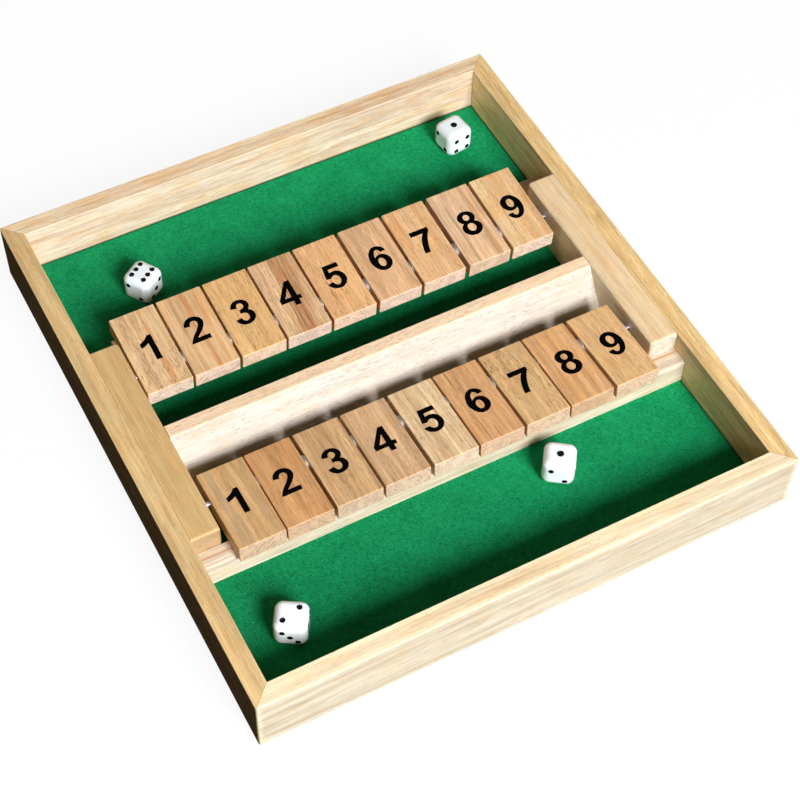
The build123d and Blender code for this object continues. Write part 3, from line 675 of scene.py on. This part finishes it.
# %% Printing ink
ink = Finish("printing_ink", Roughness=0.6, Specular_IOR_Level=0.02)
wear = ink.noise(ink.place((0.0011, 0.0035, 0.0011)), 3.0, 0.6)
ink.set(ink.shader, {"Base_Color": ink.mix(ink.spread(wear, 0.5, 0.8), linear("010101"), linear("080606"))})
INK_HEIGHT = 0.04 * MM

# %% Numerals on the tiles
# Each numeral was printed a little off the tile's middle: to the right, and up the page.
far_offsets = [(-0.25, 0.33), (-0.43, 0.86), (-0.37, 0.21), (-0.52, 0.21), (0.38, 0.14),
               (0.34, 0.14), (0.66, 0.15), (1.15, 0.15), (1.22, 0.04)]
near_offsets = [(-1.42, 1.2), (-0.98, 1.07), (-0.90, 0.8), (-0.87, 1.07), (-0.45, 1.05),
                (-0.16, 0.7), (0.20, 0.8), (0.95, 0.68), (0.92, 0.57)]


def flat_numeral(digit):
    """The filled outline as a thin plate: points in millimetres (x, y) with a height, and faces."""
    curve = bpy.data.curves.new("outline", "CURVE")
    curve.dimensions, curve.fill_mode, curve.extrude = "2D", "BOTH", 0.5
    for i, loop in enumerate(outlines[digit]):
        points = 0.985 * thicken(loop_points(loop), INK_SPREAD if i == 0 else -INK_SPREAD)
        spline = curve.splines.new("POLY")
        spline.points.add(len(points) - 1)
        flat = np.column_stack([points, np.zeros(len(points)), np.ones(len(points))])
        spline.points.foreach_set("co", flat.ravel())
        spline.use_cyclic_u = True
    holder = bpy.data.objects.new("outline", curve)
    bpy.context.scene.collection.objects.link(holder)
    mesh = bpy.data.meshes.new_from_object(holder.evaluated_get(bpy.context.evaluated_depsgraph_get()))
    points = np.empty(len(mesh.vertices) * 3)
    mesh.vertices.foreach_get("co", points)
    faces = [tuple(face.vertices) for face in mesh.polygons]
    bpy.data.objects.remove(holder)
    bpy.data.curves.remove(curve)
    bpy.data.meshes.remove(mesh)
    return points.reshape(-1, 3), faces


def on_tile(points, row, middle_x):
    """Carries flat points (x, y, height) onto a tile's upper face. y runs away from the near
    player, height is measured from the face, and the tile leans by the rest tilt."""
    rod = "tile_rod_" + row
    side = 1 if row == "far" else -1
    from_rod = (tile_length / 2 - tile_inner_reach) + side * points[:, 1]
    rise = tile_thickness / 2 + points[:, 2]
    across = from_rod * math.cos(rest_tilt) - rise * math.sin(rest_tilt)
    height = from_rod * math.sin(rest_tilt) + rise * math.cos(rest_tilt)
    return np.column_stack([middle_x + points[:, 0] * MM, rod_line[rod] + side * across * MM,
                            rod_height[rod] + height * MM])


for row, offsets in (("far", far_offsets), ("near", near_offsets)):
    for digit, (right, up) in enumerate(offsets, start=1):
        tile = f"{row}_tile_{digit}"
        points, faces = flat_numeral(digit)
        points[:, 0] += right
        points[:, 1] += up
        points[:, 2] = np.where(points[:, 2] > 0, INK_HEIGHT, -INK_HEIGHT) / MM
        middle = (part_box(tile)[0][0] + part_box(tile)[1][0]) / 2
        numeral = add_piece(f"{row}_numeral_{digit}", on_tile(points, row, middle), faces,
                            ink.material, tile, smooth=False)
print("numerals printed on", 2 * len(far_offsets), "tiles")

# %% [markdown]
# ## Paint in the dice's pips
# Each pip is a shallow dimple cut by a ball, and black gloss paint fills its surface. The
# paint is a cap of a slightly smaller ball with the same centre, so it lies a fiftieth of a
# millimetre above the dimple everywhere. The opposite faces of a die add up to seven.

# %% Pip paint
paint = Finish("pip_paint", Roughness=0.1, Specular_IOR_Level=0.15)
flow = paint.noise(paint.place((0.0008,) * 3), 2.0)
paint.set(paint.shader, {"Base_Color": paint.mix(flow, linear("030307"), linear("0b0b14"))})
PIP, ACE = (1.5, 0.7), (1.9, 0.85)
PIP_OFFSET, SIX_REACH = 3.75, 4.2
DIE_ROUND = 4.2
die_low, die_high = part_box("die_far_left")
die_half = (die_high[2] - die_low[2]) / 2 / MM
diagonal = [(-PIP_OFFSET, PIP_OFFSET), (PIP_OFFSET, -PIP_OFFSET)]
corners = diagonal + [(-PIP_OFFSET, -PIP_OFFSET), (PIP_OFFSET, PIP_OFFSET)]
pip_places = {1: [(0, 0)], 2: diagonal, 3: diagonal + [(0, 0)], 4: corners, 5: corners + [(0, 0)],
              6: [(u * SIX_REACH, side * PIP_OFFSET) for u in (-1, 0, 1) for side in (-1, 1)]}
pip_faces = {6: ((0, 0, 1), (1, 0, 0)), 1: ((0, 0, -1), (1, 0, 0)), 2: ((1, 0, 0), (0, 1, 0)),
             5: ((-1, 0, 0), (0, 1, 0)), 3: ((0, 1, 0), (0, 0, 1)), 4: ((0, -1, 0), (0, 0, 1))}
upturns = {"six": np.eye(3), "one": np.diag([1.0, -1.0, -1.0]),
           "two": np.array([[0.0, 1.0, 0.0], [0.0, 0.0, 1.0], [1.0, 0.0, 0.0]])}
thrown = {"die_far_left": (213.7, "six"), "die_far_right": (187.6, "one"),
          "die_near_right": (234.9, "one"), "die_near_left": (239.1, "two")}


def pip_cap(radius, depth, rings=7, sectors=24):
    """Cap of a ball around (0, 0, R - depth): x, y = r sin(a) (cos b, sin b) and
    z = R - depth - r cos(a), where R = (radius^2 + depth^2) / 2 depth is the ball that cut
    the dimple, r is a little less than R, and a runs from 0 to the dimple's rim."""
    ball = (radius ** 2 + depth ** 2) / (2 * depth)
    rim = math.acos(1 - depth / ball)
    r = ball - 0.02
    a, b = np.meshgrid(np.linspace(0.02, rim, rings), np.arange(sectors) * 2 * math.pi / sectors, indexing="ij")
    x, y = r * np.sin(a) * np.cos(b), r * np.sin(a) * np.sin(b)
    z = ball - depth - r * np.cos(a)
    points = np.stack([x, y, z], axis=-1).reshape(-1, 3)
    faces = [tuple(quad) for quad in grid_quads(rings, sectors, wrap=True)]
    return points, faces + [tuple(range(sectors))[::-1]]


def on_face(points):
    """Keeps a cap at or under the die's face, which falls away as r - sqrt(r^2 - e^2) where a
    point lies a distance e beyond the start of the rounded edge."""
    beyond = np.maximum(np.abs(points[:, :2]) - (die_half - DIE_ROUND), 0)
    drop = DIE_ROUND - np.sqrt(np.maximum(DIE_ROUND ** 2 - (beyond ** 2).sum(axis=1), 0))
    return np.column_stack([points[:, :2], np.minimum(points[:, 2], 0.02 - drop)])


for die, (heading, up_face) in thrown.items():
    h = math.radians(heading)
    about_z = np.array([[math.cos(h), -math.sin(h), 0], [math.sin(h), math.cos(h), 0], [0, 0, 1]])
    turned = about_z @ upturns[up_face]
    centre = (np.array(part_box(die)[0]) + np.array(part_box(die)[1])) / 2
    points, faces = [], []
    for value, (normal, first) in pip_faces.items():
        normal, first = np.array(normal, float), np.array(first, float)
        basis = np.stack([first, np.cross(normal, first), normal])
        for u, v in pip_places[value]:
            cap, cap_faces = pip_cap(*(ACE if value == 1 else PIP))
            count = sum(len(p) for p in points)
            local = (on_face(cap + (u, v, 0)) + (0, 0, die_half)) @ basis
            points.append(centre + (local @ turned.T) * MM)
            faces += [tuple(int(i) + count for i in face) for face in cap_faces]
    pips = add_piece(die + "_pips", np.concatenate(points), faces, paint.material, die)
print("painted", sum(len(p) for p in pip_places.values()), "pips on each of", len(thrown), "dice")

# %% [markdown]
# ## The floor, the light and the camera
# The game stands on a white table. One large soft lamp, as wide as a window, stands two and
# a half metres in front of the near player, as the shadows behind the near rail and the
# ridge show. A weak warm sky, brighter from behind on the right, fills the shadows, and a
# low weak lamp behind the far player lights the back of the box. The table looks white to
# the camera but is dark to the light that bounces from it, because the side of the box away
# from the lamps is nearly black.

# %% Table top
table_mesh = bpy.data.meshes.new("table_top")
table_mesh.from_pydata([(-30, -30, 0), (30, -30, 0), (30, 30, 0), (-30, 30, 0)], [], [(0, 1, 2, 3)])
table = bpy.data.objects.new("table_top", table_mesh)
bpy.context.scene.collection.objects.link(table)
top = Finish("table_white", Roughness=0.9, Specular_IOR_Level=0.0)
top.set(top.shader, {"Base_Color": linear("121110")})
seen = top.node("BsdfDiffuse", None, {"Color": linear("ffffff")}).outputs[0]
glow = top.node("Emission", None, {"Color": linear("ffffff"), "Strength": 1.0}).outputs[0]
paper = top.node("MixShader", None, {0: 0.08, 1: glow, 2: seen}).outputs[0]
ray = top.node("LightPath").outputs["Is Camera Ray"]
final = top.node("MixShader", None, {0: ray, 1: top.shader.outputs[0], 2: paper}).outputs[0]
top.tree.links.new(final, top.tree.nodes["Material Output"].inputs["Surface"])
table_mesh.materials.append(top.material)

# %% Lamps and sky


def add_lamp(name, place, half_angle, light_at_game):
    """A round lamp that faces the game, given by its half angle as seen from the game and by
    the light that it brings there."""
    distance = float(np.linalg.norm(place))
    data = bpy.data.lights.new(name, "AREA")
    data.shape = "DISK"
    data.size = 2 * distance * math.tan(math.radians(half_angle))
    data.energy = light_at_game * math.pi * distance ** 2
    lamp = bpy.data.objects.new(name, data)
    bpy.context.scene.collection.objects.link(lamp)
    lamp.location = place
    lamp.rotation_euler = (0, math.acos(place[2] / distance), math.atan2(place[1], place[0]))
    lamp.visible_camera = False
    print(name, "at", round(distance, 2), "m,", round(data.energy, 1), "W")


add_lamp("window", (0.12, -1.91, 1.45), 11, 5.1)
add_lamp("low_fill", (0.25, 2.4, 0.13), 6, 1.1)

world = bpy.data.worlds.new("room")
bpy.context.scene.world = world
world.use_nodes = True
tree = world.node_tree


def world_node(kind, operation=None, **inputs):
    """One node of the sky; an input is named by its place, as in in0=..."""
    node = tree.nodes.new("ShaderNode" + kind)
    if operation:
        node.operation = operation
    for key, value in inputs.items():
        socket = node.inputs[int(key[2:])]
        if isinstance(value, bpy.types.NodeSocket):
            tree.links.new(value, socket)
        else:
            socket.default_value = value
    return node


SKY_SIDE = (0.6, 0.75, 0.42)
background = tree.nodes["Background"]
sky_way = world_node("TexCoord").outputs["Generated"]
slope = world_node("VectorMath", "DOT_PRODUCT", in0=sky_way, in1=SKY_SIDE).outputs["Value"]
soft_sky = world_node("Math", "MULTIPLY_ADD", in0=world_node("Math", "MAXIMUM", in0=slope, in1=0.0).outputs[0],
                      in1=0.20, in2=0.015).outputs[0]
path = world_node("LightPath")
mirrored = world_node("Math", "MAXIMUM", in0=path.outputs["Is Glossy Ray"], in1=path.outputs["Is Transmission Ray"])
level = world_node("Math", "MULTIPLY_ADD", in0=mirrored.outputs[0], in1=0.5, in2=soft_sky)
level = world_node("Math", "MAXIMUM", in0=path.outputs["Is Camera Ray"], in1=level.outputs[0])
white = world_node("Math", "MAXIMUM", in0=mirrored.outputs[0], in1=path.outputs["Is Camera Ray"])
tint = world_node("MixRGB", in0=white.outputs[0], in1=(1.15, 0.84, 0.58, 1.0), in2=(1.0, 1.0, 1.0, 1.0))
tree.links.new(tint.outputs[0], background.inputs["Color"])
tree.links.new(level.outputs[0], background.inputs["Strength"])
bpy.context.scene.view_settings.view_transform = "Standard"
print("sky brighter towards", SKY_SIDE)

# %% Camera
azimuth, elevation, roll = (math.radians(a) for a in (29.2412, 53.9465, 1.6356))
forward = np.array([math.sin(azimuth) * math.cos(elevation), math.cos(azimuth) * math.cos(elevation),
                    -math.sin(elevation)])
level_right = np.array([math.cos(azimuth), -math.sin(azimuth), 0.0])
level_up = np.cross(level_right, forward)
right = math.cos(roll) * level_right + math.sin(roll) * level_up
up = np.cross(right, forward)
camera_data = bpy.data.cameras.new("camera")
camera_data.lens = 83.64
camera_data.sensor_width = 36.0
camera_data.clip_start = 0.05
camera = bpy.data.objects.new("camera", camera_data)
bpy.context.scene.collection.objects.link(camera)
matrix = np.eye(4)
matrix[:3, 0], matrix[:3, 1], matrix[:3, 2] = right, up, -forward
matrix[:3, 3] = (-0.27778, -0.51629, 0.78849)
camera.matrix_world = Matrix(matrix)
bpy.context.scene.camera = camera
print("camera at", matrix[:3, 3])
